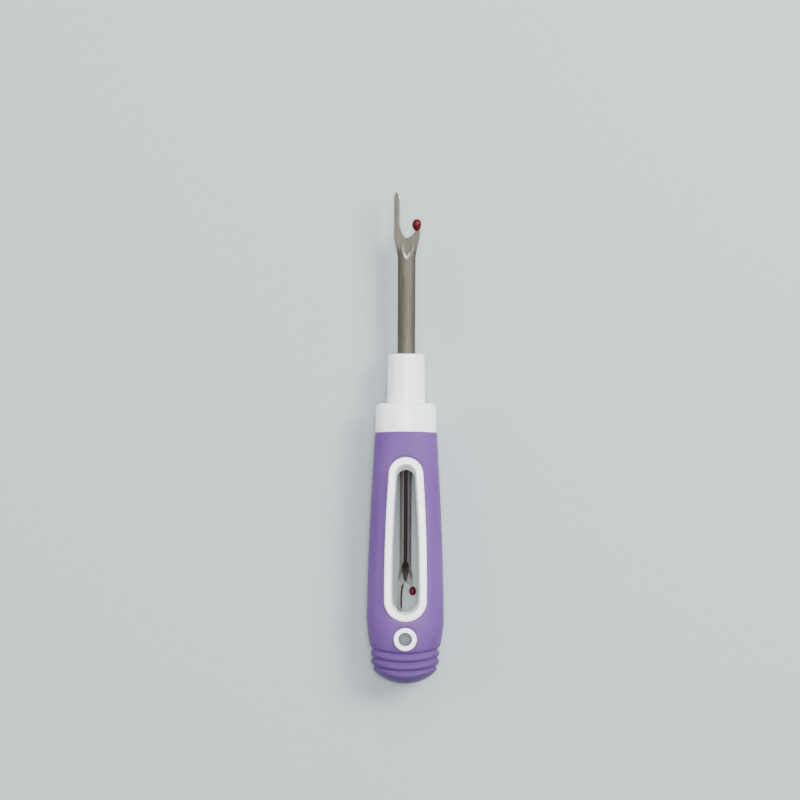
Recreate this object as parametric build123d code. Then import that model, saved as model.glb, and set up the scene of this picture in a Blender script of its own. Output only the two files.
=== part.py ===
from build123d import *
import math
import os
from collections import namedtuple

# A seam ripper with a reversible two-blade insert, in millimetres.
# The tool lies flat on its back: +Y runs along it towards the large blade's tip, +X is to the
# right and +Z is up, out of the front of the handle. Every piece is first worked out from the
# butt end, with y = 0 at the butt and z = 0 on the tool's own centre line, and then moved so that
# the origin is under the middle of the tool, on the surface that it lies on.

# ---- Blades: rolled sheet-metal tubes that open out into a flat two-pronged fork ----
# All lengths along a blade are counted back from its tip.
BladeSize = namedtuple("BladeSize", [
    "tube_radius",      # outside of the rolled shank
    "sheet",            # thickness of the metal
    "seam",             # gap that the rolled edges leave along the shank
    "reach",            # how far the tip stands out of the hub
    "head_half",        # half the width of the fork
    "shoulder",         # half the width where the rolled shank has opened out flat
    "notch_depth",      # tip of the long prong to the bottom of the notch
    "notch_start",      # tip of the long prong to where its inner side starts to curve in
    "flare_end",        # where the head's sides start to draw in towards the shank
    "flat_start",       # where the metal is flat
    "flare_start",      # where the shank is still a round tube
    "prong_width",      # long prong
    "short_half",       # half the width of the short prong, inside its bead
    "tip_offset",       # the point of the long prong, from the centre line
    "tip_taper",        # length of the pointed end
    "fork_drop",        # how far the flat face lies below the crown of the tube
    "bead_offset",      # bead centre, from the centre line
    "bead_station",     # bead centre, back from the tip
    "bead_radius",
    "bead_length",
])
large = BladeSize(tube_radius=2.3, sheet=0.8, seam=0.4, reach=42.1, head_half=3.38, shoulder=3.1,
                  notch_depth=12.0, notch_start=7.4, flare_end=9.6, flat_start=13.0,
                  flare_start=17.8, prong_width=1.5, short_half=0.5, tip_offset=2.77,
                  tip_taper=2.2, fork_drop=0.9, bead_offset=2.62, bead_station=8.7,
                  bead_radius=1.19, bead_length=3.35)
small = BladeSize(tube_radius=1.5, sheet=0.55, seam=0.7, reach=40.2, head_half=2.0, shoulder=1.95,
                  notch_depth=8.4, notch_start=5.2, flare_end=6.7, flat_start=9.0,
                  flare_start=13.4, prong_width=0.85, short_half=0.28, tip_offset=1.74,
                  tip_taper=1.6, fork_drop=0.6, bead_offset=1.82, bead_station=5.9,
                  bead_radius=0.93, bead_length=2.4)
bead_tail_share = 0.34      # of a bead's radius, left at its narrow end
edge_land = 0.12            # thickness left along the ground cutting edges
shank_embed = 12.0          # length of each shank moulded into the hub

# ---- Insert hub ----
hub_radius = 4.9
hub_projection = 12.8       # hub showing above the handle's mouth, and past the tabs at both ends
hub_end_round = 0.8
band_height = 0.1           # raised locating band round the middle
band_length = 5.0
tab_height = 1.75           # side tabs that seat in the mouth's notches
tab_length = 2.0
tab_thickness = 2.4
tab_round = 0.3

# ---- Fits ----
hub_clearance = 0.05        # radial, hub in bore and band in counterbore
tab_clearance = 0.15        # round each tab in its notch
seat_gap = 0.3              # past the inner end of the hub, and of the band
blade_side_clearance = 0.35
blade_depth_clearance = 0.4
tip_clearance = 0.7         # past the longest blade when it is stowed
cavity_corner = 1.2         # rounding along the stowed blade's cavity

# ---- Handle ----
belly_half_width = 10.0
belly_half_depth = 6.8
belly_margin = 3.05         # belly, from the top of the eyelet boss
waist_inset = 1.05          # how much narrower the handle is above the ribs
butt_half_depth = 6.1
section_power = 2.5         # superellipse exponent of the handle's cross-section
taper_power = 1.5           # how late the handle narrows towards the collar
core_wall = 0.75            # rigid wall round the hub bore, at its thinnest
grip_thickness = 1.0
collar_wall = 1.2           # outside the tabs
collar_length = 7.3
collar_round = 1.6
collar_draft = 0.1
grip_edge_bow = 0.5         # the grip's upper edge bows towards the blade by this much
dome_margin = 1.6           # butt dome radius, over the belly's half width
dome_edge_round = 0.7

# ---- Ribbed rubber end ----
eraser_length = 7.9         # solid rubber past the rigid core
groove_count = 3
groove_pitch = 2.2
first_groove = 3.35         # middle of the groove nearest the butt, on the centre line
groove_width = 0.8
groove_depth = 0.4
groove_radius = 31.0        # the grooves curve up towards the sides

# ---- Lanyard eyelet ----
eyelet_radius = 1.8
eyelet_wall = 1.2           # white ring round the hole
eyelet_margin = 0.85        # rubber end to boss
eyelet_web = 0.55           # boss to blade cavity
eyelet_proud = 0.3          # boss over the grip round it
eyelet_round = 0.3

# ---- Window ----
window_half_top = 2.65
window_half_bottom = 3.7
window_bulge = 0.3          # how far the long sides bow outwards
window_margin = 2.8         # cavity end to window
window_gap = 1.0            # window to hub
window_side_draft = 0.35    # how much the opening narrows on each side, to the cavity
window_end_draft = 1.5      # the same at the end by the hub
lip_width = 1.85
lip_proud = 0.25            # lip over the crown of the handle
lip_round = 0.45
mouth_round = 0.3           # inner edge of the window

# ---- Worked out ----
hub_length = 2 * hub_projection + tab_length
hub_inset = hub_projection + tab_length
bore_radius = hub_radius + hub_clearance
band_radius = hub_radius + band_height
tab_half_span = hub_radius + tab_height
collar_half_width = tab_half_span + tab_clearance + collar_wall
collar_half_depth = bore_radius + core_wall + grip_thickness
crown_half_depth = max(collar_half_depth, belly_half_depth)
lip_plane = crown_half_depth + lip_proud

eyelet_boss_radius = eyelet_radius + eyelet_wall
eyelet_station = eraser_length + eyelet_margin + eyelet_boss_radius
butt_length = eyelet_station + eyelet_boss_radius + eyelet_web
cavity_start = butt_length
hub_bottom = cavity_start + tip_clearance + max(large.reach, small.reach)
handle_length = hub_bottom + hub_inset
hub_centre = hub_bottom + hub_length / 2
hub_top = hub_bottom + hub_length
overall_length = hub_top + large.reach

collar_start = handle_length - collar_length
belly_station = eyelet_station + eyelet_boss_radius + belly_margin
waist_station = first_groove + (groove_count - 1) * groove_pitch + groove_width
window_bottom = cavity_start + window_margin
window_top = hub_bottom - window_gap
dome_radius = belly_half_width + dome_margin

cavity_half_width = blade_side_clearance + max(
    large.bead_offset + large.bead_radius, large.head_half,
    small.bead_offset + small.bead_radius, small.head_half)
cavity_half_depth = blade_depth_clearance + max(large.tube_radius, small.tube_radius)

SECTION_POINTS = 24
BLANK_STEPS = 16            # evenly spaced sections along the handle above the ribs
FLARE_STEPS = 6             # evenly spaced sections where a shank opens out
PRESS_RATE = 1.4            # a shank's crown is pressed down this much sooner than it opens out
SIDE_SLOPE = 0.12           # how far a fork's sides lean in where they meet the shank
FLOOR_SLOPE = 0.16          # rise of the notch's floor at the bead, as a share of its depth
OVERRUN = 1.0               # how far cutters and blanks run past what they meet
NEAR = 0.01                 # tolerance for finding edges by their place
BIG = 60.0                  # larger than any cross-section, for half-space cutters


# ---------------------------------------------------------------- handle
def outside(station):
    """Half width and half depth of the handle's outside at a distance from the butt."""
    waist_half_width = belly_half_width - waist_inset
    if station < belly_station:
        share = max(0.0, (station - waist_station) / (belly_station - waist_station))
        rise = math.sin(math.pi / 2 * share)
        return (waist_half_width + waist_inset * rise,
                butt_half_depth + (belly_half_depth - butt_half_depth) * rise)
    share = min(1.0, (station - belly_station) / (collar_start - belly_station))
    late = share ** taper_power
    draft = collar_draft * max(0.0, station - collar_start) / collar_length
    return (belly_half_width + (collar_half_width - belly_half_width) * late - draft,
            belly_half_depth + (collar_half_depth - belly_half_depth) * late - draft)


def section_wire(station, inset=0.0):
    """The handle's superellipse cross-section at one station, drawn in by an inset."""
    half_width, half_depth = outside(station)
    power = 2 / section_power
    points = []
    for i in range(SECTION_POINTS):
        angle = 2 * math.pi * i / SECTION_POINTS
        across, up = math.cos(angle), math.sin(angle)
        points.append(((half_width - inset) * math.copysign(abs(across) ** power, across), station,
                       (half_depth - inset) * math.copysign(abs(up) ** power, up)))
    return Wire([Edge.make_spline(points, periodic=True)])


def handle_blank(inset=0.0):
    """The handle's outside as one solid, drawn in by an inset."""
    step = (handle_length - waist_station) / BLANK_STEPS
    upper = [section_wire(waist_station + step * i, inset) for i in range(BLANK_STEPS + 1)]
    butt = [section_wire(-OVERRUN, inset), section_wire(waist_station, inset)]
    return Solid.make_loft(upper) + Solid.make_loft(butt)


def y_slab(start, end):
    """Everything between two stations."""
    slab = Box(BIG, end - start, BIG)
    return slab.moved(Location((0, (start + end) / 2, 0)))


def grip_zone():
    """Everything below the bowed upper edge of the rubber grip."""
    edge = ThreePointArc((-belly_half_width, collar_start - grip_edge_bow), (0, collar_start),
                         (belly_half_width, collar_start - grip_edge_bow))
    rest = Polyline(edge @ 1, (BIG / 2, collar_start - grip_edge_bow), (BIG / 2, -BIG),
                    (-BIG / 2, -BIG), (-BIG / 2, collar_start - grip_edge_bow), edge @ 0)
    return extrude(make_face(edge + rest), amount=BIG / 2, dir=(0, 0, 1), both=True)


def window_outline(side=0.0, top=0.0, bottom=0.0, height=0.0):
    """The window's outline, drawn in by three insets, on a plane at one height."""
    high, low = window_top - top, window_bottom + bottom
    half_high, half_low = window_half_top - side, window_half_bottom - side
    high_end, low_end = high - half_high, low + half_low
    middle = ((half_high + half_low) / 2 + window_bulge, (high_end + low_end) / 2)
    right = ThreePointArc((half_low, low_end), middle, (half_high, high_end))
    left = ThreePointArc((-half_high, high_end), (-middle[0], middle[1]), (-half_low, low_end))
    crown = ThreePointArc((half_high, high_end), (0, high), (-half_high, high_end))
    foot = ThreePointArc((-half_low, low_end), (0, low), (half_low, low_end))
    face = make_face(right + crown + left + foot)
    return face.moved(Location((0, 0, height)))


def window_cutter():
    """The opening through the handle, wide at both faces and narrower at the cavity."""
    share = lip_plane / (lip_plane - cavity_half_depth)
    outer = window_outline(height=lip_plane)
    inner = window_outline(window_side_draft * share, window_end_draft * share,
                           window_side_draft * share)
    front = loft([inner, outer], ruled=True)
    front += extrude(outer, amount=OVERRUN, dir=(0, 0, 1))
    return front + mirror(front, about=Plane.XY)


def window_prism():
    """The frame round the window, a prism through the whole handle, still without its opening."""
    outline = offset(window_outline(), amount=lip_width)
    return extrude(outline, amount=lip_plane, dir=(0, 0, 1), both=True)


def round_rims(solid, height, radius):
    """Round the edges that lie at one height above and below the centre line."""
    rims = [edge for edge in solid.edges() if abs(abs(edge.center().Z) - height) < NEAR]
    return fillet(rims, radius=radius)


def eyelet_boss():
    """The round boss that the lanyard hole goes through."""
    half_depth = outside(eyelet_station)[1] + eyelet_proud
    boss = Cylinder(eyelet_boss_radius, 2 * half_depth)
    boss = fillet(boss.edges().filter_by(GeomType.CIRCLE), radius=eyelet_round)
    return boss.moved(Location((0, eyelet_station, 0)))


def eyelet_hole():
    """What the lanyard hole removes."""
    return Cylinder(eyelet_radius, BIG).moved(Location((0, eyelet_station, 0)))


def along_y(radius, start, end):
    """A cylinder about the tool's centre line."""
    rod = Cylinder(radius, end - start, rotation=(90, 0, 0))
    return rod.moved(Location((0, (start + end) / 2, 0)))


def blade_cavity():
    """Bore for the hub, notches for its tabs, and the space that the stowed blade lies in."""
    end = handle_length + OVERRUN
    space = along_y(bore_radius, hub_bottom - seat_gap, end)
    space += along_y(band_radius + hub_clearance, hub_centre - band_length / 2 - seat_gap, end)
    notch_bottom = handle_length - tab_length - tab_clearance
    notch = Box(2 * (tab_half_span + tab_clearance), end - notch_bottom,
                tab_thickness + 2 * tab_clearance)
    space += notch.moved(Location((0, (end + notch_bottom) / 2, 0)))
    slot = Box(2 * cavity_half_width, hub_bottom - cavity_start, 2 * cavity_half_depth)
    slot = fillet(slot.edges().filter_by(Axis.Y), radius=cavity_corner)
    return space + slot.moved(Location((0, (hub_bottom + cavity_start) / 2, 0)))


def collar():
    """The rigid mouth of the handle, above the grip."""
    ring = handle_blank() - grip_zone()
    top = ring.faces().sort_by(Axis.Y)[-1]
    return fillet(top.edges(), radius=collar_round)


def core_skeleton(frame):
    """The core as the rubber is moulded over it, round a window frame, before its openings."""
    inside = handle_blank(grip_thickness) & y_slab(eraser_length, handle_length - 2 * collar_round)
    return inside + frame + eyelet_boss()


def handle_core():
    """The rigid white moulding: mouth collar, skeleton under the grip, window frame, eyelet."""
    core = core_skeleton(round_rims(window_prism(), lip_plane, lip_round)) + collar()
    core -= blade_cavity()
    core -= window_cutter()
    mouth = [edge for edge in core.edges() if abs(abs(edge.center().Z) - lip_plane) < NEAR
             and abs(edge.center().X) < window_half_bottom + lip_width / 2
             and edge.center().Y > window_bottom - lip_width / 2
             and edge.center().Y < window_top + lip_width / 2]
    core = fillet(mouth, radius=mouth_round)
    return core - eyelet_hole()


def rib_grooves():
    """Curved grooves round the rubber end, with ribs left between them."""
    bands = None
    for i in range(groove_count):
        middle = first_groove + i * groove_pitch
        ring = Cylinder(groove_radius + groove_width / 2, BIG)
        ring -= Cylinder(groove_radius - groove_width / 2, BIG)
        ring = ring.moved(Location((0, middle + groove_radius, 0)))
        bands = ring if bands is None else bands + ring
    bands &= y_slab(-OVERRUN, belly_station)
    return bands - handle_blank(groove_depth)


def butt_envelope():
    """The dome that rounds off the butt end."""
    dome = Sphere(dome_radius).moved(Location((0, dome_radius, 0)))
    return dome + y_slab(dome_radius, handle_length + OVERRUN)


def grip_overmould():
    """The rubber skin over the core, with its solid ribbed end."""
    skin = (handle_blank() & grip_zone()) & butt_envelope()
    rim = [edge for edge in skin.edges() if edge.bounding_box().max.Y < waist_station - groove_width
           and edge.length > belly_half_width]
    skin = fillet(rim, radius=dome_edge_round)
    skin -= rib_grooves()
    return skin - core_skeleton(window_prism())


# ---------------------------------------------------------------- insert
def insert_hub():
    """The reversible plastic hub with a locating band and two side tabs."""
    body = Cylinder(hub_radius, hub_length, rotation=(90, 0, 0))
    body = fillet(body.edges().filter_by(GeomType.CIRCLE), radius=hub_end_round)
    band = Cylinder(band_radius, band_length, rotation=(90, 0, 0))
    tabs = Box(2 * tab_half_span, tab_length, tab_thickness)
    tabs = fillet(tabs.edges().filter_by(Axis.Y), radius=tab_round)
    hub = (body + band + tabs).moved(Location((0, hub_centre, 0)))
    hub -= along_y(large.tube_radius, hub_top - shank_embed, hub_top + OVERRUN)
    return hub - along_y(small.tube_radius, hub_bottom - OVERRUN, hub_bottom + shank_embed)


def strip_section(blade, share):
    """The rolled strip's cross-section, from a tube (share 0) to flat (share 1)."""
    station = blade.flare_start + (blade.flat_start - blade.flare_start) * share
    ease = share * share * (3 - 2 * share)
    half_width = blade.tube_radius + (blade.shoulder - blade.tube_radius) * ease
    crown = blade.tube_radius - blade.fork_drop * math.sin(math.pi / 2 * min(1, PRESS_RATE * share))
    if share == 1:
        corners = [(0, crown), (half_width, crown), (half_width, crown - blade.sheet),
                   (0, crown - blade.sheet), (-half_width, crown - blade.sheet),
                   (-half_width, crown)]
        points = [(x, -station, z) for x, z in corners]
        return Wire([Edge.make_line(points[i - 1], points[i]) for i in range(len(points))])
    closed = math.pi - math.asin(blade.seam / 2 / blade.tube_radius)
    spread = closed * (1 - share)
    radius = half_width / math.sin(min(spread, math.pi / 2))
    centre = crown - radius

    def on_arc(r, angle):
        return (r * math.sin(angle), -station, centre + r * math.cos(angle))

    inner = radius - blade.sheet
    outer_right = Edge.make_three_point_arc(on_arc(radius, 0), on_arc(radius, spread / 2),
                                            on_arc(radius, spread))
    right_end = Edge.make_line(on_arc(radius, spread), on_arc(inner, spread))
    inner_right = Edge.make_three_point_arc(on_arc(inner, spread), on_arc(inner, spread / 2),
                                            on_arc(inner, 0))
    inner_left = Edge.make_three_point_arc(on_arc(inner, 0), on_arc(inner, -spread / 2),
                                           on_arc(inner, -spread))
    left_end = Edge.make_line(on_arc(inner, -spread), on_arc(radius, -spread))
    outer_left = Edge.make_three_point_arc(on_arc(radius, -spread), on_arc(radius, -spread / 2),
                                           on_arc(radius, 0))
    return Wire([outer_right, right_end, inner_right, inner_left, left_end, outer_left])


def fork_outline(blade):
    """The flat fork seen from above, long prong on the left, notch, and short prong."""
    head, shoulder = blade.head_half, blade.shoulder
    prong_inner = head - blade.prong_width
    short_half = blade.short_half
    neck = blade.bead_station + blade.bead_length / 2
    tip = (-blade.tip_offset, 0)
    left_base = (-shoulder, -blade.flat_start)
    left_top = (-head, -blade.flare_end)
    taper_left = (-head, -blade.tip_taper)
    taper_right = (-prong_inner, -blade.tip_taper)
    inner_low = (-prong_inner, -blade.notch_start)
    floor = (0, -blade.notch_depth)
    neck_left = (blade.bead_offset - short_half, -neck)
    short_left = (blade.bead_offset - short_half, -blade.bead_station)
    short_right = (blade.bead_offset + short_half, -blade.bead_station)
    neck_right = (blade.head_half, -neck)
    right_base = (shoulder, -blade.flat_start)
    left_side = Spline(left_base, left_top, tangents=[(-SIDE_SLOPE, 1), (0, 1)])
    point = Polyline(left_top, taper_left, tip, taper_right, inner_low)
    notch = Spline(inner_low, floor, neck_left,
                   tangents=[(0, -1), (1, 0), (neck_left[0], blade.notch_depth * FLOOR_SLOPE)])
    short = Polyline(neck_left, short_left, short_right, neck_right)
    right_side = Spline(neck_right, right_base, tangents=[(0, -1), (-SIDE_SLOPE, -1)])
    base = Polyline(right_base, left_base)
    return make_face(left_side + point + notch + short + right_side + base)


def grind_edge(blade, fork):
    """Bevel the inner side of the long prong and the notch to a cutting edge, from both faces."""
    prong_inner = blade.head_half - blade.prong_width
    ground = [edge for edge in fork.edges()
              if -prong_inner - NEAR < edge.center().X < blade.bead_offset / 2
              and -blade.notch_depth < edge.center().Y < -blade.tip_taper
              and edge.length > 2 * blade.sheet]
    return chamfer(ground, length=(blade.sheet - edge_land) / 2)


def blade_solid(blade):
    """One blade with its tip at y = 0, its closed side up and its long prong on the left."""
    length = blade.reach + shank_embed
    closed_end = strip_section(blade, 0)
    flare = Solid.make_loft([strip_section(blade, i / FLARE_STEPS) for i in range(FLARE_STEPS + 1)])
    tube = extrude(Face(closed_end), amount=length - blade.flare_start, dir=(0, -1, 0))
    face_height = blade.tube_radius - blade.fork_drop
    fork = extrude(fork_outline(blade), amount=-blade.sheet)
    fork = grind_edge(blade, fork).moved(Location((0, 0, face_height)))
    return tube + flare + fork


def bead_solid(blade, metal):
    """A drop of plastic on the short prong, narrower towards the shank."""
    radius, half = blade.bead_radius, blade.bead_length / 2
    crown = half - radius
    tail = (bead_tail_share * radius, -half)
    top = (0, half)
    waist = (radius, crown)
    lean = math.radians(60)
    side = Spline(waist, tail, tangents=[(0, -1), (-math.cos(lean), -math.sin(lean))])
    cap = ThreePointArc(top, (radius * math.sqrt(0.5), crown + radius * math.sqrt(0.5)), waist)
    rest = Polyline(tail, (0, -half), top)
    drop = revolve(make_face(cap + side + rest), axis=Axis.Y)
    height = blade.tube_radius - blade.fork_drop - blade.sheet / 2
    return drop.moved(Location((blade.bead_offset, -blade.bead_station, height))) - metal


def place_large(shape):
    """Stand a piece of the large blade out of the hub's upper end."""
    return shape.moved(Location((0, hub_top + large.reach, 0)))


def place_small(shape):
    """Turned end for end about X, so that its seam faces forward."""
    return shape.rotate(Axis.X, 180).moved(Location((0, hub_bottom - small.reach, 0)))


# ---------------------------------------------------------------- assembly
def build_parts():
    """Every piece of the tool by its node's name."""
    large_metal, small_metal = blade_solid(large), blade_solid(small)
    return {
        "handle_core": handle_core(),
        "grip_overmould": grip_overmould(),
        "insert_hub": insert_hub(),
        "large_blade": place_large(large_metal),
        "small_blade": place_small(small_metal),
        "large_bead": place_large(bead_solid(large, large_metal)),
        "small_bead": place_small(bead_solid(small, small_metal)),
    }


os.makedirs("parts", exist_ok=True)
to_row_frame = Location((0, -overall_length / 2, lip_plane))
for name, shape in build_parts().items():
    export_step(shape.moved(to_row_frame), f"parts/{name}.step")
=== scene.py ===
import logging
import math
from dataclasses import dataclass, field
from enum import Enum
from typing import Callable, Iterable, Sequence

import bmesh
import bpy
import numpy as np
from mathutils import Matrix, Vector


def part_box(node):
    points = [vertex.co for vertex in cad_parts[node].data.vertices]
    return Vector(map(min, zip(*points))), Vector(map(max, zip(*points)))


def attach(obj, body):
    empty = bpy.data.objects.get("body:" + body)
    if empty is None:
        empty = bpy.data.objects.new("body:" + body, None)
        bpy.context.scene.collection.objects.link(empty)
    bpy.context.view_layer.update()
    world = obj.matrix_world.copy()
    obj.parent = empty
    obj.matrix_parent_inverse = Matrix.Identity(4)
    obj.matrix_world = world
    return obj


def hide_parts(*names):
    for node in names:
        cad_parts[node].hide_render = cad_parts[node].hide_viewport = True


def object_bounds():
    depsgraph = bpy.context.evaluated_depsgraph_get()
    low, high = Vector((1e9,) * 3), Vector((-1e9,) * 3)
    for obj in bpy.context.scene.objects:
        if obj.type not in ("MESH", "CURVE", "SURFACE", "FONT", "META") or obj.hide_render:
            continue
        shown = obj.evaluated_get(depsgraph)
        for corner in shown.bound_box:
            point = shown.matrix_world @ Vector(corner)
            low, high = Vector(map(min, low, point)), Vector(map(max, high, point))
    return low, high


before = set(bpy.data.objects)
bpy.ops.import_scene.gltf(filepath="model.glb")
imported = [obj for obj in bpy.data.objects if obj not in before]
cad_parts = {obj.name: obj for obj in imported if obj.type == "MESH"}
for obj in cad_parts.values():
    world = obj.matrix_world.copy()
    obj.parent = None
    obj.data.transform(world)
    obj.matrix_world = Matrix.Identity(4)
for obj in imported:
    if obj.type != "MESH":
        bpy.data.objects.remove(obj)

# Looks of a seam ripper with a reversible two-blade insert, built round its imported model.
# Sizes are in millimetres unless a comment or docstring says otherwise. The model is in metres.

MM = 0.001
CAD_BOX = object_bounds()
HIGHLIGHT_LAYER = "paint_v_highlight"      # name of the vertex layer that holds the painted highlight on the pressed V
SNAP_REACH = 1.0         # farthest that an open edge is pulled onto an outline
SAME_PLACE = 1e-4        # lengths closer than this count as equal
Colour = tuple[float, float, float]
Pair = tuple[int, int]                           # an outer vertex and the inner one behind it
Cell = tuple[Pair, ...]
PairTable = dict[tuple[str, int, int], Pair]     # by side, row and column
log = logging.getLogger("seam_ripper")


# ------------------------------------------------------------------ shared helpers
class Body(Enum):
    """The two bodies that pieces ride on."""

    HANDLE = "handle"
    INSERT = "insert"


class Slot(Enum):
    """The record's material slots for the new pieces, listed here but not assigned to them."""

    PURPLE = "purple_rubber"
    STEEL = "blade_steel"
    RED = "red_bead"


class BladeEnd(Enum):
    """Which end of the insert a blade stands out of."""

    LARGE = "large"
    SMALL = "small"


class Zone(Enum):
    """A blade's finishes, by their place among its material slots."""

    PLATED = 0
    SCALE_AND_SHADE = 1
    GROUND = 2


def smooth_step(value: float) -> float:
    """Ease a share from 0 to 1 with level ends.

    Args:
        value: the share, clipped to 0..1.

    Returns:
        The eased share.
    """
    value = min(1.0, max(0.0, value))
    return value * value * (3 - 2 * value)


def make_object(name: str, points: Sequence[Sequence[float]], faces: Iterable[Sequence[int]],
                zones: Sequence[int] = ()) -> bpy.types.Object:
    """Link a new mesh object with consistent outward normals.

    Args:
        name: the piece's name.
        points: vertex positions in metres.
        faces: vertex indices of each face.
        zones: each face's material index, or nothing where one material covers all.

    Returns:
        The new object.
    """
    mesh = bpy.data.meshes.new(name)
    mesh.from_pydata([tuple(point) for point in points], [], [tuple(face) for face in faces])
    if zones:
        mesh.polygons.foreach_set("material_index", zones)
    work = bmesh.new()
    work.from_mesh(mesh)
    bmesh.ops.remove_doubles(work, verts=work.verts, dist=1e-7)
    bmesh.ops.recalc_face_normals(work, faces=work.faces)
    work.to_mesh(mesh)
    work.free()
    mesh.validate()
    piece = bpy.data.objects.new(name, mesh)
    bpy.context.scene.collection.objects.link(piece)
    return piece


def shade(piece: bpy.types.Object, sharp_angle: float) -> None:
    """Smooth-shade a mesh, with its sharp folds kept.

    Args:
        piece: the mesh object.
        sharp_angle: folds above this many degrees stay sharp.
    """
    piece.data.shade_smooth()
    piece.data.set_sharp_from_angle(angle=math.radians(sharp_angle))


def dress(piece: bpy.types.Object, material: bpy.types.Material) -> None:
    """Give every face of a piece, new or carried over, one material.

    Args:
        piece: the mesh object.
        material: the finish to wear.
    """
    if not piece.data.materials:
        piece.data.materials.append(material)
    for index in range(len(piece.data.materials)):
        piece.data.materials[index] = material


# ------------------------------------------------------------------ finishes
class NodeSheet:
    """A small writer of shader nodes for one material."""

    def __init__(self, name: str) -> None:
        """Start an empty material with a principled shader.

        Args:
            name: the material's name.
        """
        self.material = bpy.data.materials.new(name)
        self.material.use_nodes = True
        self.tree = self.material.node_tree
        self.shader = self.tree.nodes["Principled BSDF"]
        self.place = self.add("ShaderNodeTexCoord").outputs["Object"]

    def add(self, kind: str, **settings: object) -> bpy.types.Node:
        """Add a node and set its properties.

        Args:
            kind: the node's type name.
            **settings: attribute values.

        Returns:
            The new node.
        """
        node = self.tree.nodes.new(kind)
        for key, value in settings.items():
            setattr(node, key, value)
        return node

    def join(self, source: bpy.types.NodeSocket, target: bpy.types.NodeSocket) -> None:
        """Link two sockets."""
        self.tree.links.new(source, target)

    def scaled_place(self, scale: Sequence[float]) -> bpy.types.NodeSocket:
        """Object coordinates stretched along each axis.

        Args:
            scale: one factor for each axis, per metre.

        Returns:
            The vector socket.
        """
        mapping = self.add("ShaderNodeMapping")
        mapping.inputs["Scale"].default_value = tuple(scale)
        self.join(self.place, mapping.inputs["Vector"])
        return mapping.outputs["Vector"]

    def along(self) -> bpy.types.NodeSocket:
        """Place along the tool's length, in metres.

        Returns:
            The value socket.
        """
        node = self.add("ShaderNodeSeparateXYZ")
        self.join(self.place, node.inputs["Vector"])
        return node.outputs["Y"]

    def layer(self, name: str) -> bpy.types.NodeSocket:
        """A share stored on the mesh's vertices under a name."""
        return self.add("ShaderNodeAttribute", attribute_name=name).outputs["Fac"]

    def noise(self, scale: Sequence[float], detail: float = 4.0,
              roughness: float = 0.55) -> bpy.types.NodeSocket:
        """Fractal noise in object space.

        Args:
            scale: cells per metre along each axis.
            detail: octaves.
            roughness: strength of the finer octaves.

        Returns:
            The factor socket.
        """
        node = self.add("ShaderNodeTexNoise")
        node.inputs["Scale"].default_value = 1.0
        node.inputs["Detail"].default_value = detail
        node.inputs["Roughness"].default_value = roughness
        self.join(self.scaled_place(scale), node.inputs["Vector"])
        return node.outputs["Fac"]

    def cells(self, scale: Sequence[float], feature: str = "F1") -> bpy.types.NodeSocket:
        """Cellular texture in object space.

        Args:
            scale: cells per metre along each axis.
            feature: which Voronoi distance to read.

        Returns:
            The distance socket.
        """
        node = self.add("ShaderNodeTexVoronoi", feature=feature)
        node.inputs["Scale"].default_value = 1.0
        self.join(self.scaled_place(scale), node.inputs["Vector"])
        return node.outputs["Distance"]

    def ramp(self, source: bpy.types.NodeSocket, low: float, high: float, start: float,
             end: float) -> bpy.types.NodeSocket:
        """Remap a value between two levels.

        Args:
            source: the value to read.
            low: input level that gives start.
            high: input level that gives end.
            start: output at low.
            end: output at high.

        Returns:
            The remapped value socket.
        """
        node = self.add("ShaderNodeMapRange")
        node.inputs["From Min"].default_value = low
        node.inputs["From Max"].default_value = high
        node.inputs["To Min"].default_value = start
        node.inputs["To Max"].default_value = end
        self.join(source, node.inputs["Value"])
        return node.outputs["Result"]

    def blend(self, share: bpy.types.NodeSocket, first: Sequence[float],
              second: Sequence[float]) -> bpy.types.NodeSocket:
        """Mix two colours by a share.

        Args:
            share: 0 for the first colour, 1 for the second.
            first: linear red, green and blue.
            second: linear red, green and blue.

        Returns:
            The colour socket.
        """
        node = self.add("ShaderNodeMix", data_type="RGBA")
        self.join(share, node.inputs["Factor"])
        node.inputs["A"].default_value = (*first, 1.0)
        node.inputs["B"].default_value = (*second, 1.0)
        return node.outputs["Result"]

    def blend_over(self, share: bpy.types.NodeSocket, under: bpy.types.NodeSocket,
                   colour: Sequence[float]) -> bpy.types.NodeSocket:
        """Lay a colour over another colour socket.

        Args:
            share: how much of the colour shows.
            under: the colour underneath.
            colour: linear red, green and blue on top.

        Returns:
            The colour socket.
        """
        node = self.add("ShaderNodeMix", data_type="RGBA")
        self.join(share, node.inputs["Factor"])
        self.join(under, node.inputs["A"])
        node.inputs["B"].default_value = (*colour, 1.0)
        return node.outputs["Result"]

    def bump(self, height: bpy.types.NodeSocket, depth: float,
             under: bpy.types.NodeSocket | None = None) -> bpy.types.NodeSocket:
        """Raise a surface by a height texture.

        Args:
            height: the texture.
            depth: metres from its 0 to its 1.
            under: a bump to add this one to.

        Returns:
            The normal socket.
        """
        node = self.add("ShaderNodeBump")
        node.inputs["Strength"].default_value = 1.0
        node.inputs["Distance"].default_value = depth
        self.join(height, node.inputs["Height"])
        if under is not None:
            self.join(under, node.inputs["Normal"])
        return node.outputs["Normal"]

    def fix(self, **values: object) -> None:
        """Set shader inputs by name, with underscores for spaces."""
        for key, value in values.items():
            self.shader.inputs[key.replace("_", " ")].default_value = value

    def feed(self, name: str, source: bpy.types.NodeSocket) -> None:
        """Link a texture to one of the shader's inputs."""
        self.join(source, self.shader.inputs[name])


class Finish:
    """A finish that writes its own material."""

    def make(self, name: str) -> bpy.types.Material:
        """Write the material.

        Args:
            name: the material's name.

        Returns:
            The material.
        """
        sheet = NodeSheet(name)
        self.paint(sheet)
        return sheet.material

    def paint(self, sheet: NodeSheet) -> None:
        """Write the colour, the roughness and the relief, which each finish does its own way."""
        raise NotImplementedError


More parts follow.
